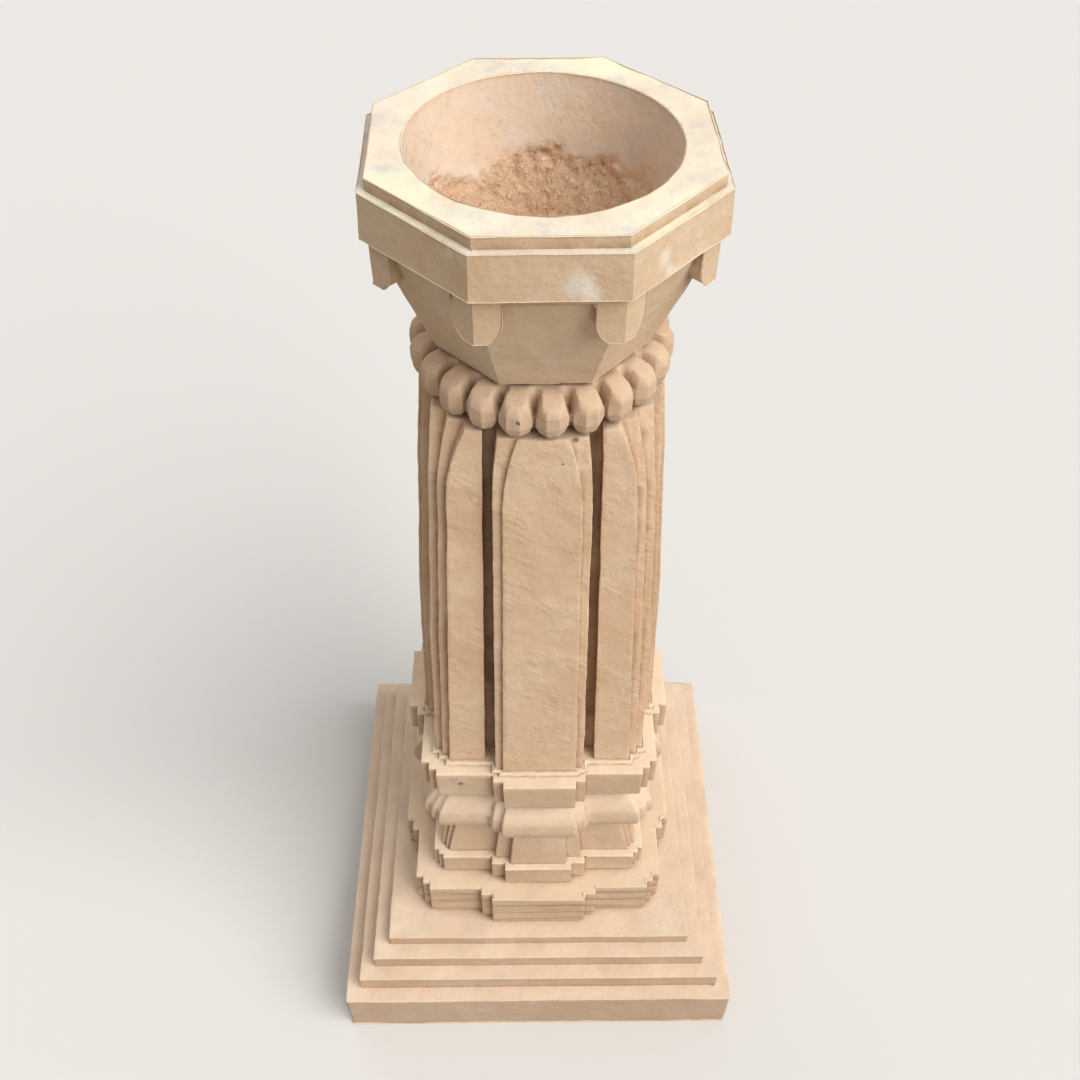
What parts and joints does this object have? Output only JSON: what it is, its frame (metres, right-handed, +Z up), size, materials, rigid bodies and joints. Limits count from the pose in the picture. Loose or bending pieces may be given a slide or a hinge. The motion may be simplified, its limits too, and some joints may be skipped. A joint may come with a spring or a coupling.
{
  "type": "tulsi vrindavan planter",
  "caption": "Free-standing carved sandstone pedestal planter: stepped plinth, moulded pedestal, fluted shaft, bead ring and an octagonal bowl with a round hollow for a tulsi plant.",
  "frame": {"origin": "middle of the plinth's underside, on the ground", "axes": "+Z up along the stack's axis, -Y towards the front, +X to the viewer's right"},
  "size_m": [0.4572, 0.4572, 1.0395],
  "materials": {
    "plinth_stone": "matte",
    "slab_stone": "matte",
    "pedestal_stone": "matte",
    "shaft_stone": "matte",
    "bead_stone": "matte",
    "bowl_stone": "matte",
    "joint_mortar": "matte",
    "dowel_steel": "satin",
    "socket_grout": "matte"
  },
  "bodies": {
    "root": {"plinth": "plinth_stone", "base_slab": "slab_stone", "pedestal": "pedestal_stone", "shaft": "shaft_stone", "bead_ring": "bead_stone", "bowl": "bowl_stone", "bed_under_slab": "joint_mortar", "bed_under_pedestal": "joint_mortar", "bed_under_shaft": "joint_mortar", "bed_under_beads": "joint_mortar", "bed_under_bowl": "joint_mortar", "dowel_base": "dowel_steel", "dowel_shaft": "dowel_steel", "dowel_bowl": "dowel_steel", "grout_base": "socket_grout", "grout_shaft": "socket_grout", "grout_bowl": "socket_grout"}
  },
  "joints": []
}
